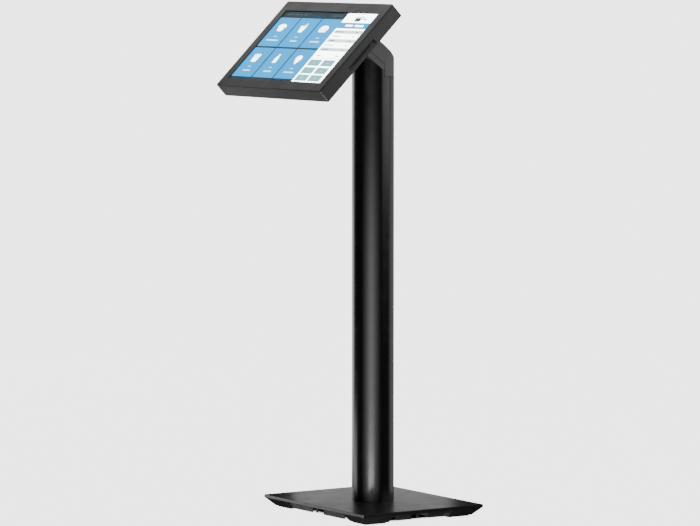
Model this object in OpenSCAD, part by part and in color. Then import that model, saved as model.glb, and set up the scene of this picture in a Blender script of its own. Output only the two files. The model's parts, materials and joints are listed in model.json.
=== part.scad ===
// Floor-standing touch payment kiosk: flat floor plate, round column, angled neck and a
// tilting all-in-one touch head. Millimetres, +Z up, origin on the floor under the column's
// centre, the screen looks towards -Y and +X is the side that carries the card reader.

/* [Base] */
// Width of the floor plate, side to side
plate_w = 372; // [340:2:420]
// Depth of the floor plate, front to back
plate_d = 292; // [270:2:340]
// Thickness of the floor plate
plate_t = 6; // [5:0.5:8]
// Height of the floor plate's top face above the floor
plate_top = 24; // [23:1:28]
// Side of one corner foot, measured at the plate
foot_side = 76; // [70:1:82]
// How far the skirt stands in from the plate's edge
skirt_inset = 13; // [11:1:16]

/* [Column] */
// Outer diameter of the column tube
tube_d = 86; // [84:1:90]
// Wall of the column tube
tube_wall = 2.5; // [2:0.25:2.75]
// Height of the seam under the rear of the neck hood
hood_bottom = 888; // [880:1:895]

/* [Neck] */
// Height at which the neck's centre line crosses the column's centre line
neck_z = 926; // [922:1:932]
// Rise of the neck above the horizontal
neck_angle = 37.5; // [36:0.5:40]
// Depth of the neck, square to its own length
neck_thick = 42; // [40:1:44]
// Height of the chin channel under the seam
chin_h = 11.2; // [9:0.2:13]
// Wall of the neck covers
neck_wall = 2.5; // [2:0.25:3]
// Length of the neck from the column's centre line to the tilt axis
hinge_reach = 80.4; // [78:0.2:88]

/* [Head] */
// Width of the head
head_w = 389; // [380:1:400]
// Height of the head along its face
head_h = 241.4; // [236:0.2:250]
// Thickness of the head
head_t = 31; // [31:1:35]
// Slope of the screen above the horizontal
head_tilt = 44.2; // [40:0.1:50]
// Height of the tilt axis above the middle of the head, along the face
hinge_up = 89; // [86:1:92]
// Distance of the tilt axis behind the head's back
hinge_back = 26; // [26:0.5:30]
// Wall of the head's housing
case_wall = 2.5; // [2:0.25:3]

/* [Screen] */
// Width of the visible picture
view_w = 344.2; // [330:0.2:346]
// Height of the visible picture
view_h = 193.6; // [186:0.2:195]
// How far the picture sits below the middle of the face
view_drop = 2.3; // [0:0.1:4]

/* [Hidden] */
$fn = 64;

// Clearance that keeps a plugged-in part off the wall round it
gap = 0.3;
plate_bottom = plate_top - plate_t;
pad_t = 2;
tube_r = tube_d / 2;
bore_r = tube_r - tube_wall;
// Half the neck's depth, and the level of the seam across it
half_neck = neck_thick / 2;
seam_p = chin_h - half_neck;
// Tilt axis
hinge_y = -hinge_reach * cos(neck_angle);
hinge_z = neck_z + hinge_reach * sin(neck_angle);
pin_r = 5;
pin_bore_r = pin_r + 0.05;
knuckle_r = 26;
knuckle_gap = 1.5;
// Depths below the head's face, as positions along its normal
bezel_t = 1.6;
groove = 1;
case_front = -bezel_t - groove;
case_back = -head_t;
cover_t = 8;
// Corner radius of the opening round the picture
view_corner_r = 1;
// Centre of the bracket's screw square on the head's back, and that square's side
vesa_v = 40;
vesa = 100;
// Card reader in the head's right side
mouth_len = 84;
mouth_front = -16;
mouth_back = -27.6;
slot_w = -22.6;
// Power button in the head's left side
button_v = 70;
button_w = -16;

black = "#1b1b1d";
charcoal = "#2a2a2c";
steel = "#9a9ca0";
board_green = "#1d4a35";

// ---- Places ----

// Neck frame: Y becomes square to the neck towards its roof, Z runs along the neck
module at_neck() translate([0, 0, neck_z]) rotate([90 - neck_angle, 0, 0]) children();

module at_hinge() translate([0, hinge_y, hinge_z]) children();

// Head frame: Y runs up the face, Z points out of the screen, origin on the face's middle
module at_head()
    at_hinge() rotate([head_tilt, 0, 0])
        translate([0, -hinge_up, head_t + hinge_back]) children();

// The tilt axis as seen in the head frame
module at_head_hinge() at_head() translate([0, hinge_up, -head_t - hinge_back]) children();

module mirror_x() { children(); mirror([1, 0, 0]) children(); }

// The four screw places of the bracket, in the head frame
module at_vesa() for (x = [-1, 1], y = [-1, 1])
    translate([x * vesa / 2, vesa_v + y * vesa / 2, 0]) children();

// ---- Shapes ----

// Flat plate with round corners, standing on z = 0
module slab(w, h, t, r)
    linear_extrude(t) {
        square([w - 2 * r, h], center = true);
        square([w, h - 2 * r], center = true);
        for (x = [-1, 1], y = [-1, 1])
            translate([x * (w / 2 - r), y * (h / 2 - r)]) circle(r);
    }

// Rod along X from x0 to x1
module x_rod(r, x0, x1) translate([x0, 0, 0]) rotate([0, 90, 0]) cylinder(r = r, h = x1 - x0);

// Block given by its lowest and highest corner
module block(low, high) translate(low) cube(high - low);

// Screw with its head under z = 0 and its shank above
module screw_up(head_r, head_h, r, len) {
    translate([0, 0, -head_h]) difference() {
        cylinder(r = head_r, h = head_h);
        translate([0, 0, -1]) cylinder(r = r * 0.55, h = head_h * 0.6 + 1, $fn = 6);
    }
    cylinder(r = r, h = len);
}

// Children at n places on a circle
module ring(n, r, start = 0)
    for (i = [0 : n - 1]) rotate(start + i * 360 / n) translate([r, 0, 0]) children();

// Smooth points between hand-set ones, for the leads
function mix(a, b, c, d, t) =
    0.5 * (2 * b + (c - a) * t + (2 * a - 5 * b + 4 * c - d) * t * t
    + (3 * b - a - 3 * c + d) * t * t * t);
function at(p, i) = p[max(0, min(len(p) - 1, i))];
function smooth(p, n) = [
    for (i = [0 : len(p) - 2], j = [0 : n - 1])
        mix(at(p, i - 1), p[i], p[i + 1], at(p, i + 2), j / n),
    p[len(p) - 1]
];
function unit(v) = v / norm(v);

// Tube along points that stay in the plane across the object, as one mesh
module lead(points, r, sides = 8) {
    last = len(points) - 1;
    side = [1, 0, 0];
    rings = [for (i = [0 : last])
        let (along = unit(at(points, i + 1) - at(points, i - 1)), up = cross(side, along))
        [for (k = [0 : sides - 1])
            points[i] + r * (cos(k * 360 / sides) * side + sin(k * 360 / sides) * up)]];
    polyhedron(
        [for (ring_points = rings) each ring_points],
        concat(
            [[for (k = [0 : sides - 1]) k]],
            [for (i = [0 : last - 1], k = [0 : sides - 1])
                let (a = i * sides + k, b = i * sides + (k + 1) % sides)
                [b, a, a + sides, b + sides]],
            [[for (k = [sides - 1 : -1 : 0]) last * sides + k]]
        )
    );
}

// ---- Base ----

bolt_circle = 29;
cable_hole_r = 15;
plate_screw_x = 66;
plate_screw_y = 44;
plate_screw_inset = 30;
foot_centre = foot_side / 2 + 7.5;
foot_screw_step = 15;
insert_r = 4.1;
exit_half = 21;
notch = 13;
skirt_bottom = 4.5;
skirt_wall = 3;
// Underside of the web that lies under the plate, and top of the cable exits
web_z = 15.5;
exit_top = 14;
exit_clip = 4;

// The plate's corners, each with the turn that points a foot inwards
corners = [[-1, -1, 0], [1, -1, 90], [1, 1, 180], [-1, 1, 270]];

module at_corner(c)
    translate([c[0] * plate_w / 2, c[1] * plate_d / 2, 0]) rotate(c[2]) children();

module at_feet() for (c = corners) at_corner(c) translate([foot_centre, foot_centre, 0]) children();

module at_skirt_screws()
    for (x = [-1, 1], y = [-1, 1]) {
        translate([x * plate_screw_x, y * (plate_d / 2 - plate_screw_inset), 0]) children();
        translate([x * (plate_w / 2 - plate_screw_inset), y * plate_screw_y, 0]) children();
    }

module base_plate() color(black) difference() {
    translate([0, 0, plate_bottom]) slab(plate_w, plate_d, plate_t, 2);
    cylinder(r = cable_hole_r, h = 100);
    ring(4, bolt_circle, 45) cylinder(r = 4.5, h = 100);
    at_feet() for (s = [-1, 1]) translate([s * foot_screw_step, s * foot_screw_step, 0])
        cylinder(r = 2.5, h = plate_bottom + 4.5);
    at_skirt_screws() cylinder(r = 2, h = plate_bottom + 4);
}

// One wall of the skirt along X, its outer face on y = 0, cut for the feet and the cable exit
module skirt_wall_run(half) difference() {
    block([-half, 0, skirt_bottom], [half, skirt_wall, plate_bottom]);
    mirror_x() block([half - notch, -1, 0], [half + 1, 9, 11]);
    block([-exit_half, -1, 0], [exit_half, 9, exit_top]);
}

// Slim clips that stand in the cable exit
module exit_pillar(x) block([x, 0, skirt_bottom + 1], [x + exit_clip, skirt_wall, exit_top]);

module base_skirt() color(charcoal) {
    long_half = plate_w / 2 - foot_side;
    short_half = plate_d / 2 - foot_side;
    difference() {
        union() {
            // Web under the plate, shaped as a cross between the feet
            block([-long_half, -plate_d / 2 + skirt_inset, web_z],
                [long_half, plate_d / 2 - skirt_inset, plate_bottom]);
            block([-plate_w / 2 + skirt_inset, -short_half, web_z],
                [plate_w / 2 - skirt_inset, short_half, plate_bottom]);
            for (turn = [0, 180]) rotate(turn) {
                translate([0, -plate_d / 2 + skirt_inset, 0]) {
                    skirt_wall_run(long_half);
                    exit_pillar(-7);
                }
                rotate(90) translate([0, -plate_w / 2 + skirt_inset, 0]) {
                    skirt_wall_run(short_half);
                    exit_pillar(-7);
                    exit_pillar(16);
                }
            }
            // Ribs beside the cable channels
            for (x = [-1, 1], y = [-1, 1]) {
                block([x * 32 - 1, y * 88 - 40, 6], [x * 32 + 1, y * 88 + 40, web_z]);
                block([x * 108 - 56, y * 28 - 1, 6], [x * 108 + 56, y * 28 + 1, web_z]);
            }
        }
        cylinder(r = 42, h = 100);
        at_skirt_screws() cylinder(r = 2.2, h = 100);
    }
}

// Foot with its outer corner on the origin, growing towards +X and +Y
module corner_foot() color(charcoal) {
    slope = [[1, plate_bottom], [foot_side, plate_bottom], [foot_side - 2, pad_t],
        [plate_bottom - pad_t + 1, pad_t]];
    difference() {
        intersection() {
            translate([0, foot_side, 0]) rotate([90, 0, 0]) linear_extrude(foot_side) polygon(slope);
            rotate([90, 0, 90]) linear_extrude(foot_side) polygon(slope);
        }
        translate([foot_centre, foot_centre, 0]) {
            cylinder(r = insert_r, h = pad_t + 13);
            for (s = [-1, 1]) translate([s, s, 0] * foot_screw_step) {
                cylinder(r = 2.8, h = 100);
                cylinder(r = 5.2, h = pad_t + 5);
            }
        }
    }
}

module foot_front_left() at_corner(corners[0]) corner_foot();
module foot_front_right() at_corner(corners[1]) corner_foot();
module foot_rear_right() at_corner(corners[2]) corner_foot();
module foot_rear_left() at_corner(corners[3]) corner_foot();

module foot_pads() color("#111111") at_feet() difference() {
    slab(50, 50, pad_t, 4);
    translate([0, 0, -1]) cylinder(r = 7, h = 10);
    for (s = [-1, 1]) translate([s * foot_screw_step, s * foot_screw_step, -1])
        cylinder(r = 5.2, h = 10);
}

module foot_screws() color(steel) at_feet() for (s = [-1, 1])
    translate([s * foot_screw_step, s * foot_screw_step, pad_t + 5]) screw_up(4.5, 3, 2.45, 15);

module skirt_screws() color(steel) at_skirt_screws() translate([0, 0, web_z]) screw_up(4, 2.2, 1.95, 6);

// ---- Column ----

plug_h = 20;
bracket_hole = 22;
neck_bolt_circle = 30.5;
neck_block_z = 846;
neck_block_h = 20;
side_screws = [90, 120, 150];

module at_side_screws(z)
    for (turn = side_screws) translate([0, 0, z]) rotate(turn) translate([tube_r, 0, 0])
        rotate([0, -90, 0]) children();

module column_tube() color(black) difference() {
    translate([0, 0, plate_top]) cylinder(r = tube_r, h = 960 - plate_top, $fn = 128);
    translate([0, 0, plate_top - 1]) cylinder(r = bore_r, h = 1000, $fn = 128);
    // Rear half stops at the hood's seam
    block([-60, 0, hood_bottom], [60, 60, 1000]);
    // Front half is mitred to the underside of the neck
    intersection() {
        at_neck() block([-60, -half_neck, -200], [60, 200, 200]);
        block([-60, -60, 0], [60, 0.01, 1100]);
    }
    for (z = [plate_top + 10, neck_block_z + 10]) at_side_screws(z)
        translate([0, 0, -5]) cylinder(r = 2.7, h = 12);
}

module plug_body(z, h, hole_r) difference() {
    translate([0, 0, z]) cylinder(r = bore_r - gap, h = h);
    translate([0, 0, z - 1]) cylinder(r = hole_r, h = h + 2);
    at_side_screws(z + h / 2) cylinder(r = 2.5, h = 10);
}

module column_plug() color(steel) difference() {
    plug_body(plate_top, plug_h, cable_hole_r);
    ring(4, bolt_circle, 45) translate([0, 0, plate_top - 1]) cylinder(r = 4, h = plug_h + 2);
    for (x = [-1, 1]) translate([x * bracket_hole, bracket_hole, plate_top + 8]) cylinder(r = 2, h = 20);
}

module column_bolts() color(steel) ring(4, bolt_circle, 45)
    translate([0, 0, plate_bottom - 1.5]) {
        difference() {
            cylinder(r = 8, h = 1.5);
            translate([0, 0, -1]) cylinder(r = 4.2, h = 4);
        }
        screw_up(6.5, 8, 3.95, 24);
    }

module column_screws() color(steel)
    for (z = [plate_top + 10, neck_block_z + 10]) at_side_screws(z) translate([0, 0, -0.05])
        screw_up(4.6, 2.2, 2.45, 8);

// ---- Power supply in the column ----

brick = [58, 34, 138];
brick_z = 74;
brick_back = 16;

module supply_bracket() color(steel) difference() {
    union() {
        block([-29, brick_back + gap, plate_top + plug_h], [29, brick_back + gap + 2, 220]);
        block([-29, brick_back + gap, plate_top + plug_h], [29, 27, plate_top + plug_h + 2]);
        // Straps that hold the brick at both ends
        for (z = [brick_z + 20, brick_z + brick[2] - 28]) difference() {
            block([-31.5, brick_back - brick[1] - 2, z], [31.5, brick_back + gap + 2, z + 8]);
            block([-29.3, brick_back - brick[1] - gap, z - 1],
                [29.3, brick_back + gap + 0.1, z + 9]);
        }
    }
    for (x = [-1, 1]) translate([x * bracket_hole, bracket_hole, 0]) cylinder(r = 2.1, h = 100);
}

module power_supply() color("#141414") difference() {
    translate([0, brick_back - brick[1] / 2, brick_z]) slab(brick[0], brick[1], brick[2], 4);
    block([-14.5, brick_back - 27, brick_z - 1], [14.5, brick_back - 6, brick_z + 16]);
    translate([0, 0, brick_z + brick[2] - 4]) cylinder(r = 3, h = 10);
}

// Three-pin inlet set into the lower end of the supply, facing the cable hole
module mains_inlet() color("#0d0d0d") translate([0, brick_back - 16.5, 0]) difference() {
    block([-14, -10, brick_z - 2], [14, 10, brick_z + 15]);
    difference() {
        block([-11.5, -7.5, brick_z - 3], [11.5, 7.5, brick_z + 12]);
        for (x = [-7, 0, 7]) translate([x, x == 0 ? -2 : 2, brick_z - 1]) cylinder(r = 1.4, h = 14);
    }
}

lead_r = 2.6;
lead_route = smooth([
    [0, 0, 209], [0, 0, 240], [0, -6, 330], [0, 4, 430], [0, -5, 540], [0, 4, 650],
    [0, -2, 750], [0, 0, 830], [0, 0, 880], [0, -4, 918], [0, -22, 942], [0, -42, 957.5]
], 6);

module power_lead() color("#0f0f0f") lead(lead_route, lead_r);

connector_s = 53;

module lead_connector() color("#e8e6dc") at_neck() {
    block([-7, -4.5, connector_s], [7, 4.5, connector_s + 12]);
    block([-8.5, -6, connector_s + 3], [8.5, 6, connector_s + 6]);
}

// ---- Neck ----

frame_half = 11;
frame_x = 20;
frame_t = 4;

module neck_block() color(steel) difference() {
    plug_body(neck_block_z, neck_block_h, 14);
    ring(4, neck_bolt_circle) translate([0, 0, neck_block_z - 1]) cylinder(r = 3, h = neck_block_h + 2);
}

// Side view of the neck's steel cheeks
module cheek() difference() {
    union() {
        translate([-18, 0]) square([36, 46]);
        // Arm part, drawn from the column's centre line out to the tilt axis
        translate([0, neck_z - neck_block_z - neck_block_h]) rotate(180 - neck_angle)
            translate([-16, -frame_half]) square([hinge_reach + 16, 2 * frame_half]);
        translate([hinge_y, hinge_z - neck_block_z - neck_block_h]) circle(r = 15);
    }
    translate([hinge_y, hinge_z - neck_block_z - neck_block_h]) circle(r = pin_bore_r);
}

module neck_frame() color(steel) {
    top = neck_block_z + neck_block_h;
    mirror_x() translate([frame_x, 0, top]) rotate([90, 0, 90]) linear_extrude(frame_t) cheek();
    difference() {
        union() {
            translate([0, 0, top]) cylinder(r = 38, h = 4);
            block([-frame_x, 14, top], [frame_x, 18, top + 44]);
            at_neck() block([-frame_x, frame_half - 3, 4], [frame_x, frame_half, 56]);
        }
        translate([0, 0, top - 1]) cylinder(r = 12, h = 6);
        ring(4, neck_bolt_circle) translate([0, 0, top - 1]) cylinder(r = 3.3, h = 6);
    }
}

module neck_bolts() color(steel) ring(4, neck_bolt_circle)
    translate([0, 0, neck_block_z + neck_block_h + 4]) rotate([180, 0, 0]) screw_up(5, 5, 2.95, 18);

// Space taken by the tilt knuckle, which the neck's end is scooped out for
module knuckle_room() at_hinge() x_rod(knuckle_r + knuckle_gap, -60, 60);

// Side-to-side bar of the neck between two levels, out to the knuckle
module neck_bar(half_w, low, high) at_neck() block([-half_w, low, -120], [half_w, high, 70]);

module neck_chin() color(black) difference() {
    intersection() {
        neck_bar(tube_r, -half_neck, seam_p);
        block([-60, -200, 800], [60, 0, 1100]);
    }
    neck_bar(tube_r - neck_wall, -half_neck + neck_wall, 100);
    translate([0, 0, 800]) cylinder(r = bore_r, h = 200, $fn = 128);
    knuckle_room();
}

// Plan of the hood: straight sides with a half-round back
module hood_plan(r, z0) {
    translate([0, 0, z0]) cylinder(r = r, h = 200, $fn = 128);
    block([-r, -140, z0], [r, 0, z0 + 200]);
}

module neck_hood() color(black) difference() {
    intersection() {
        hood_plan(tube_r, hood_bottom);
        neck_bar(tube_r, -140, half_neck);
    }
    intersection() {
        hood_plan(tube_r - neck_wall, hood_bottom - 1);
        neck_bar(tube_r, -140, half_neck - neck_wall);
    }
    intersection() {
        neck_bar(60, -200, seam_p + 0.15);
        block([-60, -200, 800], [60, 0, 1100]);
    }
    knuckle_room();
}

// ---- Tilt joint ----

ear_x = 25.2;
ear_t = 4;
nut_t = 6;

module tilt_pin() color(steel) at_hinge() {
    x_rod(pin_r, -ear_x - ear_t - nut_t, ear_x + ear_t + 0.5 + nut_t);
    x_rod(9, -ear_x - ear_t - nut_t, -ear_x - ear_t - 0.05);
}

module tilt_washers() color(steel) mirror_x() at_hinge() difference() {
    x_rod(12, frame_x + frame_t + 0.05, ear_x - 0.05);
    x_rod(pin_r + 0.2, 0, 60);
}

module tilt_nuts() color(steel) at_hinge() difference() {
    translate([ear_x + ear_t + 0.05, 0, 0]) rotate([0, 90, 0]) cylinder(r = 9.2, h = nut_t, $fn = 6);
    x_rod(pin_r + 0.05, 0, 60);
}

bracket_low = vesa_v - 61;
bracket_high = 114;

module tilt_bracket() color(steel) {
    at_head() difference() {
        block([-60, bracket_low, case_back - 3], [60, bracket_high - 3, case_back]);
        at_vesa() translate([0, 0, case_back - 5]) cylinder(r = 2.4, h = 10);
        translate([0, hinge_up, case_back - 5]) cylinder(r = 12, h = 10);
    }
    mirror_x() at_head_hinge() difference() {
        union() {
            x_rod(14, ear_x, ear_x + ear_t);
            block([ear_x, -14, 0], [ear_x + ear_t, 14, hinge_back - 3]);
        }
        x_rod(pin_bore_r, 0, 60);
    }
}

module bracket_screws() color(steel) at_head() at_vesa()
    translate([0, 0, case_back - 3]) screw_up(3.6, 2.2, 1.95, 13);

// Swept room for the neck's cheeks inside the knuckle, over the whole tilt
module cheek_room() at_head_hinge() {
    reach = 60;
    turns = [-36, -60, -85, -110, -138];
    rotate([90, 0, 90]) translate([0, 0, -25.4]) linear_extrude(50.8)
        polygon(concat([[0, 0]], [for (a = turns) reach * [cos(a), sin(a)]]));
}

module knuckle(r, half_w) at_head_hinge() {
    x_rod(r, -half_w, half_w);
    block([-half_w, -r, 0], [half_w, r, hinge_back]);
}

module tilt_cover() color(charcoal) difference() {
    union() {
        at_head() translate([0, (bracket_low + bracket_high) / 2, case_back - cover_t])
            slab(126, bracket_high - bracket_low + 6, cover_t, 6);
        knuckle(knuckle_r, tube_r);
    }
    at_head() block([-60.5, bracket_low - 0.5, case_back - cover_t + 2],
        [60.5, bracket_high - 2.5, case_back + 1]);
    knuckle(knuckle_r - 2.5, tube_r - 2.5);
    cheek_room();
}

// ---- Head ----

module case_ring(w, h, t, r, wall) difference() {
    slab(w, h, t, r);
    translate([0, 0, -1]) slab(w - 2 * wall, h - 2 * wall, t + 2, max(0.5, r - wall));
}

cover_screw_x = head_w / 2 - 9;
cover_screw_v = head_h / 2 - 9;

// Where the bosses of the two case halves meet
boss_split = -13.8;
speaker_v = 18 - head_h / 2;

module at_screw_places()
    for (x = [-1, 1], v = [-1, 0, 1]) {
        translate([x * cover_screw_x, v * cover_screw_v + (v == 0 ? -52 : 0), 0]) children();
        if (v != 0) translate([x * 66, v * cover_screw_v, 0]) children();
    }

module at_cover_screws() at_head() at_screw_places() children();

module rear_cover() color(charcoal) difference() {
    union() {
        at_head() translate([0, 0, case_back]) difference() {
            slab(head_w, head_h, head_t + case_front, 3);
            translate([0, 0, case_wall])
                slab(head_w - 2 * case_wall, head_h - 2 * case_wall, head_t, 1);
        }
        // Bosses for the cover screws
        at_cover_screws() translate([0, 0, case_back + 1])
            cylinder(r = 4, h = boss_split - gap - case_back - 1);
    }
    at_cover_screws() {
        translate([0, 0, case_back - 1]) cylinder(r = 1.7, h = 30);
        translate([0, 0, case_back - 1]) cylinder(r = 3.4, h = 3.4);
    }
    at_head() {
        // Screw square, lead hole and port bay in the back
        at_vesa() translate([0, 0, case_back - 1]) cylinder(r = 2.4, h = 6);
        translate([0, hinge_up, case_back - 1]) cylinder(r = 9, h = 6);
        block([-72, -104, case_back - 1], [72, -66, case_back + 4]);
        // Air slots either side of the bracket and in the upper edge, and sound slots below
        for (x = [-1, 1], i = [0 : 9])
            block([x * (96 + 8 * i) - 1.5, 50, case_back - 1], [x * (96 + 8 * i) + 1.5, 90, case_back + 4]);
        for (i = [0 : 13], x = [-1, 1])
            block([x * (86 + 6 * i) - 1, head_h / 2 - 4, -21], [x * (86 + 6 * i) + 1, head_h / 2 + 1, -14]);
        for (i = [0 : 6], x = [-1, 1])
            block([x * (110 + 6 * i) - 1, speaker_v - 6, case_back - 1],
                [x * (110 + 6 * i) + 1, speaker_v + 6, case_back + 4]);
        // Mouth of the card reader and hole of the power button
        block([head_w / 2 - 4, -mouth_len / 2, mouth_back], [head_w / 2 + 1, mouth_len / 2, mouth_front]);
        translate([0, button_v, button_w]) x_rod(5.3, -head_w / 2 - 1, -head_w / 2 + 4);
    }
}

module port_cover() color(charcoal) at_head() difference() {
    block([-71.7, -103.7, case_back], [71.7, -66.3, case_back + 2]);
    for (i = [-4 : 4]) block([i * 9 - 1, -98, case_back - 1], [i * 9 + 1, -84, case_back + 3]);
    block([-8, -72, case_back - 1], [8, -66, case_back + 3]);
}

module cover_screws() color(steel) at_cover_screws()
    translate([0, 0, case_back + 2.4]) screw_up(3, 1.8, 1.55, 18);

module front_bezel() color(charcoal) at_head() difference() {
    union() {
        translate([0, 0, -bezel_t]) slab(head_w, head_h, bezel_t, 3);
        translate([0, 0, case_front]) slab(head_w - 3, head_h - 3, groove, 2);
        translate([0, 0, -7]) case_ring(head_w - 6, head_h - 6, 5, 1, 3);
        at_screw_places() translate([0, 0, boss_split]) cylinder(r = 4, h = -boss_split - 1);
    }
    translate([0, -view_drop, -10]) slab(view_w, view_h, 20, view_corner_r);
    translate([0, -view_drop, -20]) slab(view_w + 12, view_h + 10, 20 - bezel_t, 1);
    at_screw_places() translate([0, 0, boss_split - 1]) cylinder(r = 1.6, h = 9);
}

module glass_gasket() color("#0a0a0a") at_head() translate([0, -view_drop, -2.2])
    case_ring(view_w + 10, view_h + 8, 0.6, 1, 5);

module touch_glass() color("#0d1416") at_head() translate([0, -view_drop, -4.2])
    slab(view_w + 10, view_h + 8, 2, 1);

module lcd_panel() color("#6fb3d8") at_head() translate([0, -view_drop, -7.8])
    slab(view_w + 8, view_h + 7, 3.4, 1);

module chassis() color(steel) at_head() difference() {
    union() {
        translate([0, -view_drop, -9.2]) slab(view_w + 14, view_h + 14, 1.2, 3);
        // Pillars behind the bracket's screws
        at_vesa() translate([0, 0, case_back + case_wall + 0.1])
            cylinder(r = 5, h = head_t - case_wall - 9);
    }
    at_vesa() translate([0, 0, case_back]) cylinder(r = 2, h = 16);
}

board_hole_x = 80;
board_mid = -14;

module at_board_holes() for (x = [-1, 1], y = [-1, 1])
    translate([x * board_hole_x, board_mid + y * 40, 0]) children();

module mainboard() color(board_green) at_head() difference() {
    union() {
        block([-84, -58, -14.6], [84, 30, -13]);
        block([20, -52, -16.4], [76, -44, -14.6]);
        block([-80, 8, -19], [-66, 26, -14.6]);
        for (i = [0 : 4]) translate([-54 + 9 * i, -40, -20]) cylinder(r = 3.2, h = 5.4);
        at_board_holes() translate([0, 0, -13]) cylinder(r = 3, h = 3.8);
    }
    at_board_holes() translate([0, 0, -20]) cylinder(r = 1.6, h = 10);
    // Clear of the chassis pillars
    at_vesa() translate([0, 0, -20]) cylinder(r = 5.8, h = 10);
}

module heat_sink() color("#b8bcc0") at_head() {
    block([-42, -20, -17.6], [16, 24, -14.6]);
    for (i = [0 : 10]) block([-42 + i * 5.68, -20, -25], [-40.8 + i * 5.68, 24, -17.6]);
}

module storage_card() color("#153a2a") at_head() {
    block([20, -28, -17.6], [42, 26, -16.6]);
    block([23, -22, -19], [39, -6, -17.6]);
    block([23, 0, -19], [39, 16, -17.6]);
    block([20, -34, -19.4], [42, -28, -14.6]);
}

module port_block() color("#c8c8c4") at_head() difference() {
    block([-66, -80, -25.6], [66, -58.2, -13]);
    block([-62, -81, -24.4], [-46, -66, -14.2]);
    for (x = [-38, -20, -2]) {
        block([x, -81, -17.6], [x + 13, -66, -14.2]);
        block([x, -81, -23.4], [x + 13, -66, -19.6]);
    }
    block([18, -81, -20.6], [33, -66, -16]);
    translate([52, -66, -19]) rotate([90, 0, 0]) cylinder(r = 3.6, h = 16);
}

module speakers() color("#202020") at_head() for (x = [-1, 1]) difference() {
    translate([x * 128, speaker_v, case_back + case_wall + 0.3]) slab(70, 20, 12, 3);
    translate([x * 128, speaker_v, case_back + 1]) slab(60, 12, 6, 5);
}

// Loop aerial for contactless cards, behind the lower edge of the bezel
module contactless_antenna() color("#2f6b4a") at_head()
    translate([0, 5.3 - head_h / 2 + 6, -4]) case_ring(110, 8.6, 0.8, 1, 2);

head_lead_route = smooth([
    [0, 92, -37], [0, 90, -31], [0, 87, -27], [0, 79, -23.2], [0, 58, -22], [0, 40, -21], [0, 31, -17]
], 4);

module head_lead() color("#0f0f0f") at_head() lead(head_lead_route, 2);

// ---- Power button ----

wall_x = -head_w / 2;
flange_x = wall_x + case_wall + 0.1;

module at_button() at_head() translate([0, button_v, button_w]) children();

module power_button() color(charcoal) at_button() {
    x_rod(5, wall_x + 0.3, flange_x + 0.6);
    x_rod(6.4, flange_x, flange_x + 1.4);
    x_rod(1.5, flange_x + 1.4, flange_x + 4);
}

// Coil spring drawn as its wire, turn by turn
module button_spring() color(steel) at_button() translate([flange_x + 1.4, 0, 0]) rotate([0, 90, 0]) {
    turns = 4;
    steps = 16;
    path = [for (i = [0 : turns * steps])
        [3.4 * cos(i * 360 / steps), 3.4 * sin(i * 360 / steps), 0.4 + 4.6 * i / (turns * steps)]];
    coil(path, 0.3);
}

// Round wire round the Z axis
module coil(path, r) {
    sides = 6;
    rings = [for (q = path) let (out = unit([q[0], q[1], 0]))
        [for (k = [0 : sides - 1])
            q + r * (cos(k * 60) * out + sin(k * 60) * [0, 0, 1])]];
    last = len(path) - 1;
    polyhedron(
        [for (ring_points = rings) each ring_points],
        concat(
            [[for (k = [sides - 1 : -1 : 0]) k]],
            [for (i = [0 : last - 1], k = [0 : sides - 1])
                let (a = i * sides + k, b = i * sides + (k + 1) % sides)
                [a, b, b + sides, a + sides]],
            [[for (k = [0 : sides - 1]) last * sides + k]]
        )
    );
}

module button_switch() color("#303030") at_button() difference() {
    union() {
        block([flange_x + 6.8, -9, -8], [flange_x + 8.4, 9, 6]);
        block([flange_x + 5.6, -2, -2], [flange_x + 6.8, 2, 2]);
    }
    for (y = [-1, 1]) translate([0, y * 6.8, -5]) x_rod(1.2, flange_x, flange_x + 20);
}

// ---- Card reader ----

mouth_x = head_w / 2;
card_half = 28;

// Scooped insert that guides a card into the slot
module reader_mouth() color("#121212") at_head() difference() {
    block([mouth_x - 9, -mouth_len / 2 + gap, mouth_back + gap],
        [mouth_x - 0.2, mouth_len / 2 - gap, mouth_front - gap]);
    // Scoop that deepens from both sides towards the slot
    translate([mouth_x, 0, 0]) rotate([90, 0, 0]) linear_extrude(mouth_len - 3, center = true)
        polygon([[1, mouth_front - 1], [-0.4, mouth_front - 1], [-4.4, slot_w + 1.6],
            [-4.4, slot_w - 1.6], [-0.4, mouth_back + 1], [1, mouth_back + 1]]);
    block([mouth_x - 12, -card_half, slot_w - 0.8], [mouth_x, card_half, slot_w + 0.8]);
}

module at_slot() at_head() translate([mouth_x, 0, slot_w]) children();

module reader_body() color("#1a1a1a") at_slot() difference() {
    block([-66, -32, -5.6], [-9.2, 32, 7.6]);
    block([-63, -card_half, -0.8], [0, card_half, 0.8]);
    // Window for the magnetic head
    block([-24, 4, 0], [-14, 18, 9.6]);
}

module at_reading_head() at_slot() translate([-19, 11, 0]) children();

// Reading head that a card lifts by its own thickness
module magnetic_head() color("#b9bcc2") at_reading_head() {
    block([-4, -6, 1.5], [4, 6, 6.2]);
    // Crowned nose, so that a card slides under it from either end
    intersection() {
        translate([0, 0, 4.7]) x_rod(5, -4, 4);
        block([-4, -6, -3.4], [4, 6, 1.6]);
    }
}

module head_spring() color(steel) at_reading_head() {
    block([-3, -14, 8.2], [3, 8, 8.5]);
    block([-3, -5, 6.4], [3, 5, 6.7]);
    block([-3, 4.7, 6.4], [3, 5, 8.5]);
}

module reader_board() color(board_green) at_slot() {
    block([-64, -30, 8], [-28, 30, 9.2]);
    block([-56, -12, 9.2], [-46, 0, 10.4]);
}

// ---- Output ----

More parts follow.
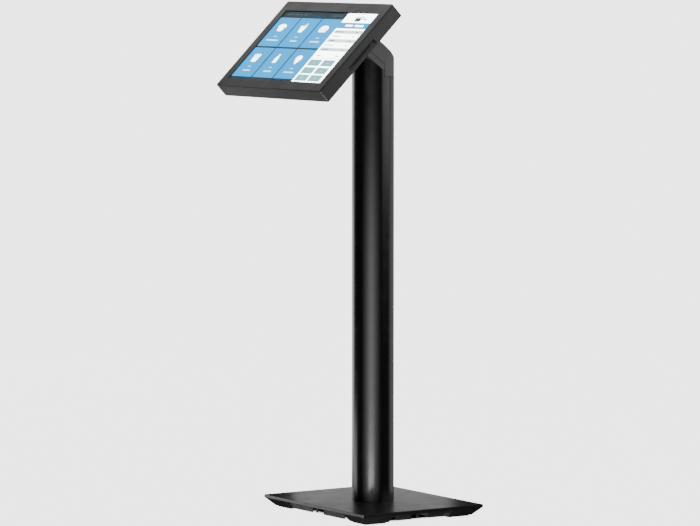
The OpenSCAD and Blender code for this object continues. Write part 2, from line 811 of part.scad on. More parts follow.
base_plate();
base_skirt();
foot_front_left();
foot_front_right();
foot_rear_right();
foot_rear_left();
foot_pads();
foot_screws();
skirt_screws();
column_tube();
column_plug();
column_bolts();
column_screws();
supply_bracket();
power_supply();
mains_inlet();
power_lead();
lead_connector();
neck_block();
neck_frame();
neck_bolts();
neck_chin();
neck_hood();
tilt_pin();
tilt_washers();
tilt_nuts();
tilt_bracket();
bracket_screws();
tilt_cover();
rear_cover();
port_cover();
cover_screws();
front_bezel();
glass_gasket();
touch_glass();
lcd_panel();
chassis();
mainboard();
heat_sink();
storage_card();
port_block();
speakers();
contactless_antenna();
head_lead();
power_button();
button_spring();
button_switch();
reader_mouth();
reader_body();
magnetic_head();
head_spring();
reader_board();
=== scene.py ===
"""Looks of the card payment kiosk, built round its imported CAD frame.

Shapes are drawn in millimetres, in the part's own frame or in the head's frame. They are turned into
metres in the part's own frame as each piece is made.
"""
import json
from math import atan2, cos, pi, radians, sin

import bmesh
import bpy
from mathutils import Euler, Matrix, Vector

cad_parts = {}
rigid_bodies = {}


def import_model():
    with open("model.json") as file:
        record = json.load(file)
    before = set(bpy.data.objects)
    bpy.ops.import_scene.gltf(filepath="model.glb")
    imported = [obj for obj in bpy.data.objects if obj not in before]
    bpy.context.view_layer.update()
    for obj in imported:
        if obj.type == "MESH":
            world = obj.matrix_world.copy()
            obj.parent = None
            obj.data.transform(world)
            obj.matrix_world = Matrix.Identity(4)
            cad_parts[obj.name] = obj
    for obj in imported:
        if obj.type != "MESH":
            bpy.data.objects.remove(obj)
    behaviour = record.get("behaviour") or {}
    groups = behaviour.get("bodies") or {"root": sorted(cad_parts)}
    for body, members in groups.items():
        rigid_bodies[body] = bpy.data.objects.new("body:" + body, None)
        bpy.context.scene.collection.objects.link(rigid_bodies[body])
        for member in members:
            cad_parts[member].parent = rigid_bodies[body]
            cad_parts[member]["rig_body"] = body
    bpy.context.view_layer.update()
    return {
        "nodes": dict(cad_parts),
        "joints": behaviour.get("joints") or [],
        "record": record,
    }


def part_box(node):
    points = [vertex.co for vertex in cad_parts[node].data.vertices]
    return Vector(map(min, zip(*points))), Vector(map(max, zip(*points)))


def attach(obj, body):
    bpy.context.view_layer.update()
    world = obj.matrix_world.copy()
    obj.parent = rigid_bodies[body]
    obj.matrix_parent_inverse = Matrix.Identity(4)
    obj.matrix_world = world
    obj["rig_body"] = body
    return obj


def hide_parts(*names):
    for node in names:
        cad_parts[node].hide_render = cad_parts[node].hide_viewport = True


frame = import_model()
scene = bpy.context.scene
MM = 0.001

# ---------------------------------------------------------------- driving dimensions, in mm
PLATE_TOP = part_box("base_plate")[1].z / MM
TUBE_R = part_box("column_tube")[1].x / MM
TUBE_WALL = 2.5
HOOD_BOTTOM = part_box("neck_hood")[0].z / MM
NECK_Z = 926.0
NECK_ANGLE = radians(37.5)
HALF_NECK = 21.0
SEAM_P = -9.8
SEAM_GAP = 0.6
HOOD_SEAM_Y = 0.3
COLUMN_SEAM_Y = -0.6
COLUMN_SEAM_DROP = 0.4
NECK_END = 72
NECK_WALL = 2.5
HEAD_W = (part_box("front_bezel")[1].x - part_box("front_bezel")[0].x) / MM
HEAD_H = 241.4
HEAD_T = 31.0
HINGE_UP = 89.0
HINGE_BACK = 26.0
KNUCKLE_R = 26.0
KNUCKLE_GAP = 1.5
BEZEL_T = 1.6
GROOVE = 1.0
VIEW_W = 344.2
VIEW_H = 193.6
VIEW_DROP = 2.3
GLASS_BACK, GLASS_FRONT = -2.5, -1.75
PANEL_BACK, PANEL_FRONT = -7.8, -2.65

joints = {joint["name"]: joint for joint in frame["joints"]}
hinge = Vector(joints["head_tilt"]["pos_m"]) / MM
face_normal = Vector(joints["reading_head_lift"]["axis"])
HEAD_TILT = atan2(-face_normal.y, face_normal.z)

# ---------------------------------------------------------------- frames
TO_METRES = Matrix.Scale(MM, 4)
STAND = TO_METRES
HINGE = TO_METRES @ Matrix.Translation(hinge) @ Matrix.Rotation(HEAD_TILT, 4, "X")
# Head frame: Y runs up the face, Z points out of the screen, the origin is the face's middle
HEAD = HINGE @ Matrix.Translation((0, -HINGE_UP, HEAD_T + HINGE_BACK))


# ---------------------------------------------------------------- camera
VIEW_TURN = 56.63


def make_camera():
    """A long lens, from the front right and a little above the head."""
    azimuth, drop, aim = radians(VIEW_TURN), radians(4.55), radians(0.309)
    distance, height = 8.6125, 1.1935
    camera = bpy.data.objects.new("camera", bpy.data.cameras.new("camera"))
    scene.collection.objects.link(camera)
    camera.data.sensor_width = 36
    camera.data.lens = 218.4
    camera.data.clip_end = 100
    camera.location = (distance * sin(azimuth), -distance * cos(azimuth), height)
    camera.rotation_euler = Euler((pi / 2 - drop, 0, azimuth + aim))
    scene.camera = camera


make_camera()


# ---------------------------------------------------------------- materials
def linear(*srgb):
    """Linear colour of sRGB values from 0 to 255."""
    return tuple(((c / 255 + 0.055) / 1.055) ** 2.4 if c > 10 else c / 255 / 12.92 for c in srgb)


class Nodes:
    """A material's node tree, with short calls for what every finish here uses."""

    def __init__(self, name):
        self.material = bpy.data.materials.new(name)
        self.material.use_nodes = True
        self.tree = self.material.node_tree
        self.shader = self.tree.nodes["Principled BSDF"]
        self.place = self.add("ShaderNodeTexCoord").outputs["Object"]

    def add(self, kind, **values):
        node = self.tree.nodes.new(kind)
        for key, value in values.items():
            setattr(node, key, value)
        return node

    def link(self, a, b):
        self.tree.links.new(a, b)

    def noise(self, scale, detail=2.0, rough=0.5, stretch=None):
        node = self.add("ShaderNodeTexNoise")
        node.inputs["Scale"].default_value = scale
        node.inputs["Detail"].default_value = detail
        node.inputs["Roughness"].default_value = rough
        place = self.place
        if stretch:
            mapping = self.add("ShaderNodeMapping")
            mapping.inputs["Scale"].default_value = stretch
            self.link(place, mapping.inputs["Vector"])
            place = mapping.outputs["Vector"]
        self.link(place, node.inputs["Vector"])
        return node.outputs["Fac"]

    def spread(self, value, low, high, start=0.3, end=0.7):
        node = self.add("ShaderNodeMapRange")
        for key, number in zip(("From Min", "From Max", "To Min", "To Max"), (start, end, low, high)):
            node.inputs[key].default_value = number
        self.link(value, node.inputs["Value"])
        return node.outputs["Result"]

    def blend_colours(self, value, a, b):
        node = self.add("ShaderNodeMix", data_type="RGBA")
        node.inputs[6].default_value = (*a, 1)
        node.inputs[7].default_value = (*b, 1)
        self.link(value, node.inputs["Factor"])
        return node.outputs[2]

    def colour(self, value):
        self.link(value, self.shader.inputs["Base Color"])

    def rough(self, value):
        self.link(value, self.shader.inputs["Roughness"])

    def bump(self, value, depth):
        node = self.add("ShaderNodeBump")
        node.inputs["Distance"].default_value = depth
        node.inputs["Strength"].default_value = 0.6
        self.link(value, node.inputs["Height"])
        self.link(node.outputs["Normal"], self.shader.inputs["Normal"])

    def set(self, **values):
        for key, value in values.items():
            self.shader.inputs[key.replace("_", " ")].default_value = value
        return self.material


def scaled(colour, factor):
    return tuple(c * factor for c in colour)


def coated(name, colour, low, high, peel=900.0, depth=0.00002, coat=0.0):
    """Powder-coated metal: orange peel, and a gloss that drifts a little over the piece."""
    n = Nodes(name)
    drift = n.noise(9.0, 3.0)
    n.colour(n.blend_colours(drift, scaled(colour, 0.85), scaled(colour, 1.2)))
    n.rough(n.spread(n.noise(28.0, 4.0, 0.6), low, high))
    n.bump(n.noise(peel, 1.5), depth)
    return n.set(Coat_Weight=coat, Coat_Roughness=0.12)


def moulded(name, colour, low, high, grain=2600.0, depth=0.00003):
    """Moulded plastic with a fine spark-eroded grain."""
    n = Nodes(name)
    speck = n.noise(grain * 0.6, 2.0)
    n.colour(n.blend_colours(n.spread(speck, 0, 1), scaled(colour, 0.88), scaled(colour, 1.12)))
    n.rough(n.spread(n.noise(16.0, 5.0, 0.65), low, high))
    n.bump(n.noise(grain, 3.0, 0.7), depth)
    return n.set(IOR=1.49)


def metal(name, colour, low, high, stretch=(1, 1, 14), depth=0.000012):
    """Bare or plated metal with a fine directional brushing."""
    n = Nodes(name)
    lines = n.noise(420.0, 3.0, 0.6, stretch)
    n.colour(n.blend_colours(lines, scaled(colour, 0.8), scaled(colour, 1.1)))
    n.rough(n.spread(lines, low, high))
    n.bump(lines, depth)
    return n.set(Metallic=1.0)


def board(name):
    """Green circuit board with darker copper tracks under its solder mask."""
    n = Nodes(name)
    tracks = n.add("ShaderNodeTexBrick")
    for key, value in (("Scale", 260.0), ("Mortar Size", 0.03), ("Brick Width", 0.9)):
        tracks.inputs[key].default_value = value
    tracks.inputs["Color1"].default_value = (0.012, 0.10, 0.045, 1)
    tracks.inputs["Color2"].default_value = (0.016, 0.13, 0.06, 1)
    tracks.inputs["Mortar"].default_value = (0.03, 0.2, 0.1, 1)
    n.link(n.place, tracks.inputs["Vector"])
    n.colour(tracks.outputs["Color"])
    n.rough(n.spread(n.noise(300.0), 0.28, 0.42))
    n.bump(tracks.outputs["Fac"], 0.00002)
    return n.material


def clear_glass(name):
    """Anti-glare cover glass, faintly smeared."""
    n = Nodes(name)
    n.rough(n.spread(n.noise(14.0, 4.0, 0.6), 0.03, 0.08))
    n.bump(n.noise(1400.0, 2.0), 0.000002)
    return n.set(Base_Color=(0.94, 0.97, 0.98, 1), Transmission_Weight=1.0, IOR=1.04)


def lit(name, colour, strength=1.0, shade=0.06):
    """A colour of the lit picture, with the slight unevenness of a back light."""
    n = Nodes(name)
    glow = n.spread(n.noise(5.0, 2.0), 0, 1)
    even = n.blend_colours(glow, scaled(colour, 1 - shade), scaled(colour, 1 + shade))
    n.link(even, n.shader.inputs["Emission Color"])
    n.rough(n.spread(n.noise(400.0), 0.45, 0.6))
    return n.set(Base_Color=(*scaled(colour, 0.02), 1), Specular_IOR_Level=0.05,
                 Emission_Strength=strength)


BLACK_PAINT = (0.001, 0.001, 0.0012)
NECK_GREY = (0.070, 0.070, 0.071)
HEAD_GREY = (0.028, 0.028, 0.029)
FINISHES = {
    "plate_paint": coated("plate_paint", (0.006, 0.006, 0.0065), 0.30, 0.36),
    "column_paint": coated("column_paint", BLACK_PAINT, 0.20, 0.26, peel=1300.0),
    "neck_plastic": moulded("neck_plastic", NECK_GREY, 0.42, 0.52),
    "head_plastic": moulded("head_plastic", HEAD_GREY, 0.40, 0.50),
    "base_plastic": moulded("base_plastic", (0.008, 0.008, 0.0085), 0.45, 0.6, grain=1800.0),
    "pad_rubber": moulded("pad_rubber", (0.012, 0.012, 0.012), 0.8, 0.95, grain=900.0, depth=0.00006),
    "fastener_steel": metal("fastener_steel", (0.52, 0.52, 0.54), 0.25, 0.42, (1, 1, 1)),
    "black_screw": coated("black_screw", (0.018, 0.018, 0.019), 0.3, 0.45, peel=3000.0),
    "bracket_steel": metal("bracket_steel", (0.48, 0.49, 0.51), 0.28, 0.45),
    "block_aluminium": metal("block_aluminium", (0.68, 0.68, 0.70), 0.3, 0.5, (14, 1, 1)),
    "display_glass": clear_glass("display_glass"),
    "display_panel": lit("display_panel", linear(52, 74, 86), 1.0),
    "foam": moulded("foam", (0.010, 0.010, 0.010), 0.9, 1.0, grain=1500.0, depth=0.0002),
    "circuit_board": board("circuit_board"),
    "port_metal": metal("port_metal", (0.6, 0.6, 0.61), 0.2, 0.35, (1, 1, 1)),
    "inner_plastic": moulded("inner_plastic", (0.012, 0.012, 0.012), 0.45, 0.6),
    "connector_plastic": moulded("connector_plastic", (0.72, 0.70, 0.62), 0.4, 0.5),
    "lead_jacket": moulded("lead_jacket", (0.014, 0.014, 0.014), 0.5, 0.62, grain=700.0),
}


def dress(obj, finish):
    obj.data.materials.clear()
    obj.data.materials.append(finish)


for part in frame["record"]["subparts"]:
    dress(frame["nodes"][part["node"]], FINISHES[part["material_slot"]])
NODE_SLOT = {part["node"]: part["material_slot"] for part in frame["record"]["subparts"]}
NODE_BODY = {node: obj["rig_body"] for node, obj in frame["nodes"].items()}


# ---------------------------------------------------------------- mesh making
def rounded(w, h, r, cy=0.0, steps=6):
    """Points of a rounded rectangle, anticlockwise, as (x, y)."""
    points = []
    for quarter, (sx, sy) in enumerate(((1, 1), (-1, 1), (-1, -1), (1, -1))):
        for i in range(steps + 1):
            a = (quarter + i / steps) * pi / 2
            points.append((sx * (w / 2 - r) + r * cos(a), cy + sy * (h / 2 - r) + r * sin(a)))
    return points


def level(points, z):
    return [(x, y, z) for x, y in points]


def across(points, x):
    """Points (y, z) placed on a plane of one x."""
    return [(x, y, z) for y, z in points]


def loft(loops, closed=False, bm=None):
    """Solid through loops of equal length: capped, or joined end to start."""
    bm = bm or bmesh.new()
    rows = [[bm.verts.new(p) for p in loop] for loop in loops]
    pairs = list(zip(rows, rows[1:]))
    if closed:
        pairs.append((rows[-1], rows[0]))
    else:
        bm.faces.new(rows[0])
        bm.faces.new(rows[-1])
    for a, b in pairs:
        for i in range(len(a)):
            j = (i + 1) % len(a)
            bm.faces.new((a[i], a[j], b[j], b[i]))
    bmesh.ops.recalc_face_normals(bm, faces=bm.faces)
    return bm


def box(low, high, bm=None):
    (x0, y0, z0), (x1, y1, z1) = low, high
    corners = [(x0, y0), (x1, y0), (x1, y1), (x0, y1)]
    return loft([level(corners, z0), level(corners, z1)], bm=bm)


def rod(centre, r, x0, x1, steps=64, bm=None):
    """Cylinder along X."""
    y, z = centre
    circle = [(y + r * cos(2 * pi * i / steps), z + r * sin(2 * pi * i / steps)) for i in range(steps)]
    return loft([across(circle, x0), across(circle, x1)], bm=bm)


def lathe(profile, steps=48):
    """Solid turned about Z from (radius, z) pairs, first and last on the axis."""
    bm = bmesh.new()
    rings = []
    for r, z in profile:
        if r < 1e-6:
            rings.append([bm.verts.new((0, 0, z))])
        else:
            rings.append([bm.verts.new((r * cos(2 * pi * i / steps), r * sin(2 * pi * i / steps), z))
                          for i in range(steps)])
    for a, b in zip(rings, rings[1:]):
        for i in range(steps):
            j = (i + 1) % steps
            corners = [a[i % len(a)], a[j % len(a)], b[j % len(b)], b[i % len(b)]]
            bm.faces.new(list(dict.fromkeys(corners)))
    bmesh.ops.recalc_face_normals(bm, faces=bm.faces)
    return bm


def loose_object(bm, name="cutter"):
    mesh = bpy.data.meshes.new(name)
    bm.to_mesh(mesh)
    bm.free()
    obj = bpy.data.objects.new(name, mesh)
    scene.collection.objects.link(obj)
    return obj


def settle(obj):
    """Bakes an object's modifiers into its mesh."""
    graph = bpy.context.evaluated_depsgraph_get()
    mesh = bpy.data.meshes.new_from_object(obj.evaluated_get(graph))
    obj.modifiers.clear()
    obj.data = mesh


def carve(bm, *steps):
    """A solid after boolean steps, each an operation and another solid."""
    base = loose_object(bm)
    for operation, other in steps:
        tool = loose_object(other)
        modifier = base.modifiers.new("step", "BOOLEAN")
        modifier.operation, modifier.solver, modifier.object = operation, "EXACT", tool
        settle(base)
        bpy.data.objects.remove(tool)
    result = bmesh.new()
    result.from_mesh(base.data)
    bpy.data.objects.remove(base)
    return result


def tidy(bm, merge=1e-4):
    bmesh.ops.remove_doubles(bm, verts=bm.verts, dist=merge)
    bmesh.ops.dissolve_limit(bm, angle_limit=radians(0.4), verts=bm.verts, edges=bm.edges)
    return bm


def shade(bm, angle=32):
    for face in bm.faces:
        face.smooth = True
    for edge in bm.edges:
        edge.smooth = len(edge.link_faces) == 2 and edge.calc_face_angle(0) < radians(angle)


def piece(name, bm, place, body, slot, stands_for=(), edge=0.0, segments=3, finish=None):
    """A visible piece, with its edges rounded by so many mm."""
    bm.transform(place)
    shade(bm)
    obj = loose_object(bm, name)
    dress(obj, finish or FINISHES[slot])
    if edge:
        bevel = obj.modifiers.new("edges", "BEVEL")
        bevel.width, bevel.segments = edge * MM, segments
        bevel.limit_method, bevel.angle_limit = "ANGLE", radians(32)
        bevel.use_clamp_overlap = False
        bevel.harden_normals = True
    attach(obj, body)
    if stands_for:
        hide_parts(*stands_for)
    return obj


def refine(node, edge, segments=3):
    """A CAD node's own shape, with its flat faces merged and its edges rounded."""
    bm = bmesh.new()
    bm.from_mesh(frame["nodes"][node].data)
    tidy(bm, 1e-7)
    return piece(node + "_shell", bm, Matrix.Identity(4), NODE_BODY[node], NODE_SLOT[node], [node], edge,
                 segments)


for node, edge in (("base_plate", 0.5), ("base_skirt", 0.3), ("foot_front_left", 0.8),
                   ("foot_front_right", 0.8), ("foot_rear_right", 0.8), ("foot_rear_left", 0.8),
                   ("port_cover", 0.3)):
    refine(node, edge)


# ---------------------------------------------------------------- screen
def make_bezel():
    """Front frame: face, opening, and the step that leaves a thin groove over the housing."""
    def ring(w, h, r, z, opening=False):
        return level(rounded(w, h, r, -VIEW_DROP if opening else 0.0), z)
    bm = loft([
        ring(HEAD_W, HEAD_H, 3, -BEZEL_T), ring(HEAD_W, HEAD_H, 3, 0),
        ring(VIEW_W, VIEW_H, 1, 0, True), ring(VIEW_W, VIEW_H, 1, -BEZEL_T, True),
        ring(VIEW_W + 12, VIEW_H + 10, 1, -BEZEL_T, True), ring(VIEW_W + 12, VIEW_H + 10, 1, -6.8, True),
        ring(HEAD_W - 12, HEAD_H - 12, 1, -6.8), ring(HEAD_W - 12, HEAD_H - 12, 1, -BEZEL_T - GROOVE),
        ring(HEAD_W - 3, HEAD_H - 3, 2, -BEZEL_T - GROOVE), ring(HEAD_W - 3, HEAD_H - 3, 2, -BEZEL_T),
    ], closed=True)
    piece("front_frame", bm, HEAD, "head", "head_plastic", ["front_bezel"], edge=0.35)


make_bezel()
piece("cover_glass", loft([level(rounded(VIEW_W + 10, VIEW_H + 8, 1, -VIEW_DROP), z)
                           for z in (GLASS_BACK, GLASS_FRONT)]),
      HEAD, "head", "display_glass", ["touch_glass"], edge=0.2)
piece("picture_panel", loft([level(rounded(VIEW_W + 8, VIEW_H + 7, 1, -VIEW_DROP), z)
                             for z in (PANEL_BACK, PANEL_FRONT)]),
      HEAD, "head", "display_panel", ["lcd_panel"], edge=0.3)

# The picture, as thin plates of light on the panel. Places are fractions of the picture, from its
# left and its top; sizes are in mm.
LAYER = 0.03
ICON_WIDE = 1.35
TILE_BLUE, DARK_TEAL, PAPER = (0.002, 0.43, 1.0), (0.03, 0.062, 0.082), (1, 1, 1)
LIGHTS = {
    "header": lit("light_header", DARK_TEAL),
    "tiles": lit("light_tiles", TILE_BLUE, 1.6),
    "paper": lit("light_paper", PAPER, 9.0, shade=0.02),
    "white": lit("light_white", PAPER, 7.0, shade=0.02),
    "rows": lit("light_rows", (0.9, 1.0, 1.0), 2.4, shade=0.02),
    "keys": lit("light_keys", (0.34, 0.95, 1.0), 1.1),
    "pale": lit("light_pale", (0.45, 0.85, 1.0), 3.2),
    "marks": lit("light_marks", (0.10, 0.15, 0.17)),
}


def place_at(u, t):
    return (u - 0.5) * VIEW_W, -VIEW_DROP + (0.5 - t) * VIEW_H


def bar(u, t, w, h, r=0.6):
    x, v = place_at(u, t)
    return [(x + px, v + py) for px, py in rounded(w, h, min(r, w / 2.1, h / 2.1), 0, 3)]


def area(u0, u1, t0, t1, r=0.5):
    return bar((u0 + u1) / 2, (t0 + t1) / 2, (u1 - u0) * VIEW_W, (t1 - t0) * VIEW_H, r)


def drawn(u, t, points, size=1.0):
    x, v = place_at(u, t)
    return [(x + px * size * ICON_WIDE, v + py * size) for px, py in points]


def oval(u, t, dx, dy, rx, ry, start=0, end=360, steps=24):
    x, v = place_at(u, t)
    turns = [radians(start + (end - start) * i / steps) for i in range(steps + (end - start < 360))]
    return [(x + (dx + rx * cos(a)) * ICON_WIDE, v + dy + ry * sin(a)) for a in turns]


def picture(name, colour, layer, outlines):
    bm = bmesh.new()
    for outline in outlines:
        loft([level(outline, PANEL_FRONT - 0.02), level(outline, PANEL_FRONT + layer * LAYER)], bm=bm)
    piece("picture_" + name, bm, HEAD, "head", "display_panel", finish=LIGHTS[colour])


def food_icons(places):
    """Six plain symbols: muffin, cup with a straw, burger, chips, bottle and cone."""
    muffin, cup, burger, chips, bottle, cone = places
    return [
        oval(*muffin, 0, 2, 11, 9, 0, 180), drawn(*muffin, [(-8.5, 1), (-6, -9), (6, -9), (8.5, 1)]),
        drawn(*cup, [(-7, 4), (-5, -10), (5, -10), (7, 4)]),
        drawn(*cup, [(-8.5, 5), (8.5, 5), (8, 7.5), (-8, 7.5)]),
        drawn(*cup, [(1, 8), (5, 14), (7, 14), (3, 8)]),
        oval(*burger, 0, 2.5, 11, 8, 0, 180),
        drawn(*burger, [(-11.5, -1.5), (11.5, -1.5), (11.5, 1.3), (-11.5, 1.3)]),
        drawn(*burger, [(-10.5, -3), (10.5, -3), (8.5, -7.5), (-8.5, -7.5)]),
        drawn(*chips, [(-8, 0), (-6, -11), (6, -11), (8, 0)]),
        *[drawn(*chips, [(x - 1.1, 1), (x + 1.1, 1), (x * 1.3 + 1.1, 9 + y), (x * 1.3 - 1.1, 9 + y)])
          for x, y in ((-6, 0), (-3, 2.5), (0, 1), (3, 3), (6, 0.5))],
        drawn(*bottle, [(-4.5, -11), (4.5, -11), (4.5, 2), (1.8, 7), (1.8, 9), (-1.8, 9), (-1.8, 7),
                        (-4.5, 2)]),
        drawn(*bottle, [(-2.2, 10), (2.2, 10), (2.2, 12.5), (-2.2, 12.5)]),
        oval(*cone, 0, 4.5, 8, 7.5), drawn(*cone, [(-7, -1), (0, -13), (7, -1), (0, -3.4)]),
    ]


def make_picture():
    split, tile_w, line = 0.68, 0.2185, 0.0122
    columns = [tile_w / 2 + i * (tile_w + line) for i in range(3)]
    tops = (0.095, 0.538)
    tile_h = 0.42
    picture("header", "header", 1, [area(0, split, 0, 1)])
    picture("tiles", "tiles", 2, [area(u - tile_w / 2, u + tile_w / 2, t, t + tile_h)
                                  for t in tops for u in columns])
    picture("icons", "white", 3, food_icons([(u - 0.012, t + 0.15) for t in tops for u in columns]))
    picture("captions", "pale", 3,
            [bar(u, t + 0.275, 11, 1.9) for t in tops for u in columns]
            + [bar(u, t + 0.33, w, 3.4) for t, widths in zip(tops, ((44, 24, 34), (26, 28, 36)))
               for u, w in zip(columns, widths)])
    picture("header_marks", "marks", 2, [bar(0.06 + 0.045 * i, 0.045, 9, 3.4) for i in range(5)]
            + [bar(0.55 + 0.04 * i, 0.045, 7, 4.2) for i in range(3)])
    picture("paper", "paper", 1, [area(split, 1, 0, 1)])
    picture("band", "tiles", 2, [area(split, 1, 0.135, 0.22)])
    picture("band_caption", "white", 3, [bar(0.79, 0.178, 26, 5, 1.5), bar(0.895, 0.178, 32, 5, 1.5)])
    picture("emblem", "marks", 2, [drawn(0.83, 0.075, [(-9, 2), (-7, -8), (7, -8), (9, 2)]),
                                   drawn(0.83, 0.075, [(-11, 3), (11, 3), (9, 5), (-9, 5)]),
                                   oval(0.87, 0.05, 0, 0, 3, 2), bar(0.90, 0.085, 16, 3)])
    rows = [0.27 + 0.063 * i for i in range(5)]
    picture("rows", "rows", 2, [area(split + 0.015, 0.985, t - 0.024, t + 0.024) for t in rows[::2]])
    picture("row_text", "marks", 3, [bar(0.745 + 0.008 * (i % 2), t, 34 - 7 * (i % 3), 2.4)
                                     for i, t in enumerate(rows)]
            + [bar(0.93, t, 9, 2.4) for t in rows])
    picture("totals", "tiles", 2, [bar(0.735, 0.61, 12, 3), bar(0.93, 0.61, 12, 3)])
    picture("total_line", "rows", 2, [area(split + 0.01, 0.99, 0.645, 0.652)])
    keys = [(u, t) for t in (0.715, 0.825, 0.93) for u in (0.757, 0.898)]
    picture("keys", "keys", 2, [bar(u, t, 42, 17, 0.8) for u, t in keys])
    picture("key_marks", "rows", 3, [bar(u, t, 5, 1.4) for u, t in keys])


make_picture()


# ---------------------------------------------------------------- column
def ring_of(r, z, steps=160):
    return [(r * cos(2 * pi * i / steps), r * sin(2 * pi * i / steps), z) for i in range(steps)]


def extrude_x(profile, half_w):
    """Solid of a side view, drawn as (y, z) pairs, as wide on both sides of the middle."""
    return loft([across(profile, -half_w), across(profile, half_w)])


def neck_point(along, up):
    """(y, z) of a point so far along the neck and so far above its centre line."""
    return (-along * cos(NECK_ANGLE) + up * sin(NECK_ANGLE),
            NECK_Z + along * sin(NECK_ANGLE) + up * cos(NECK_ANGLE))


def neck_level(y, up):
    """Height at one y of the plane that lies so far above the neck's centre line."""
    return NECK_Z + (up - y * sin(NECK_ANGLE)) / cos(NECK_ANGLE)


def knuckle_room():
    return rod((hinge.y, hinge.z), KNUCKLE_R + KNUCKLE_GAP, -60, 60, 128)


def make_column():
    """Tube, cut level behind for the hood and along the neck's underside in front."""
    top, inner, far = 960, TUBE_R - TUBE_WALL, 60
    tube = loft([ring_of(TUBE_R, PLATE_TOP), ring_of(TUBE_R, top), ring_of(inner, top),
                 ring_of(inner, PLATE_TOP)], closed=True)
    low, front = HOOD_BOTTOM - COLUMN_SEAM_DROP, COLUMN_SEAM_Y
    above = extrude_x([(far, low), (front, low), (front, neck_level(front, -HALF_NECK)),
                       (-far, neck_level(-far, -HALF_NECK)), (-far, 1100), (far, 1100)], far)
    piece("column", carve(tube, ("DIFFERENCE", above)), STAND, "stand", "column_paint", ["column_tube"],
          edge=0.3)


def hood_plan(r, low, high):
    """Upright solid with straight sides and a half-round back."""
    steps, front = 80, -140
    back = [(r * cos(pi * i / steps), r * sin(pi * i / steps)) for i in range(steps + 1)]
    outline = [(r, front), *back, (-r, front)]
    return loft([level(outline, low), level(outline, high)])


def make_hood():
    """Cover over the top and back of the elbow, open below and scooped for the knuckle."""
    far, front, seam = 60, HOOD_SEAM_Y, SEAM_P + SEAM_GAP
    outer_side = [(far, HOOD_BOTTOM), (front, HOOD_BOTTOM), (front, neck_level(front, seam)),
                  neck_point(NECK_END, seam), neck_point(NECK_END, HALF_NECK),
                  (far, neck_level(far, HALF_NECK))]
    inside = HALF_NECK - NECK_WALL
    inner_side = [(far, 800), (-120, 800), (-120, neck_level(-120, inside)),
                  (far, neck_level(far, inside))]
    outer = carve(hood_plan(TUBE_R, 850, 1100), ("INTERSECT", extrude_x(outer_side, far)))
    inner = carve(hood_plan(TUBE_R - NECK_WALL, 840, 1110), ("INTERSECT", extrude_x(inner_side, far)))
    piece("neck_top_cover", carve(outer, ("DIFFERENCE", inner), ("DIFFERENCE", knuckle_room())), STAND,
          "stand", "neck_plastic", ["neck_hood"], edge=0.6)


def make_chin():
    """Channel under the neck, which ends in the column's mitre."""
    side = [(0, neck_level(0, -HALF_NECK)), (0, neck_level(0, SEAM_P)), neck_point(NECK_END, SEAM_P),
            neck_point(NECK_END, -HALF_NECK)]
    floor = NECK_WALL - HALF_NECK
    hollow = [(20, neck_level(20, floor)), (20, 1000), (-40, 1060), (-120, 1060),
              (-120, neck_level(-120, floor))]
    bore = loft([ring_of(TUBE_R - TUBE_WALL, 800), ring_of(TUBE_R - TUBE_WALL, 1100)])
    bm = carve(extrude_x(side, TUBE_R), ("DIFFERENCE", extrude_x(hollow, TUBE_R - NECK_WALL)),
               ("DIFFERENCE", bore), ("DIFFERENCE", knuckle_room()))
    piece("neck_channel", bm, STAND, "stand", "neck_plastic", ["neck_chin"], edge=0.5)


make_column()
make_hood()
make_chin()


# ---------------------------------------------------------------- head housing
BRACKET_LOW, BRACKET_HIGH = -21, 114
COVER_T = 8
SCREW_X, SCREW_V = HEAD_W / 2 - 9, HEAD_H / 2 - 9
SCREW_PLACES = [(x * SCREW_X, v) for x in (-1, 1) for v in (-SCREW_V, -52, SCREW_V)]
SCREW_PLACES += [(x * 66, v * SCREW_V) for x in (-1, 1) for v in (-1, 1)]
MOUTH_LEN, MOUTH_FRONT, MOUTH_BACK, SLOT_W = 84, -16, -27.6, -22.6
BUTTON_V, BUTTON_W = 70, -16


def slot_cutter(bm, x, v, w, h, r=None):
    """Hole through the back wall, round-cornered."""
    low, high = -HEAD_T - 2, -HEAD_T + 5
    outline = [(px + x, py + v) for px, py in rounded(w, h, min(w, h) * 0.48 if r is None else r, 0, 5)]
    return loft([level(outline, low), level(outline, high)], bm=bm)


def make_housing():
    """Deep tray behind the screen, with its air slots, card mouth, button hole and port bay."""
    front, back, wall = -BEZEL_T - GROOVE, -HEAD_T, 2.5
    tray = loft([level(rounded(HEAD_W, HEAD_H, 3, 0, 10), z) for z in (back, front)])
    hollow = loft([level(rounded(HEAD_W - 2 * wall, HEAD_H - 2 * wall, 1), z) for z in (back + wall, 0)])
    holes = bmesh.new()
    for side in (-1, 1):
        for i in range(10):
            slot_cutter(holes, side * (96 + 8 * i), 70, 3, 40)
        for i in range(7):
            slot_cutter(holes, side * (110 + 6 * i), -HEAD_H / 2 + 18, 2, 12)
        for y in (-10, 90):
            slot_cutter(holes, side * 50, y, 4.8, 4.8)
    for x, v in SCREW_PLACES:
        slot_cutter(holes, x, v, 6.8, 6.8)
    slot_cutter(holes, 0, HINGE_UP, 18, 18)
    slot_cutter(holes, 0, -85, 144, 38, r=1)
    for side in (-1, 1):
        for i in range(14):
            x = side * (86 + 6 * i)
            box((x - 1, HEAD_H / 2 - 4, -21), (x + 1, HEAD_H / 2 + 1, -14), bm=holes)
    box((HEAD_W / 2 - 4, -MOUTH_LEN / 2, MOUTH_BACK), (HEAD_W / 2 + 1, MOUTH_LEN / 2, MOUTH_FRONT),
        bm=holes)
    rod((BUTTON_V, BUTTON_W), 5.3, -HEAD_W / 2 - 1, -HEAD_W / 2 + 4, 48, bm=holes)
    piece("housing", carve(tray, ("DIFFERENCE", hollow), ("DIFFERENCE", holes)), HEAD, "head",
          "head_plastic", ["rear_cover"], edge=0.4)


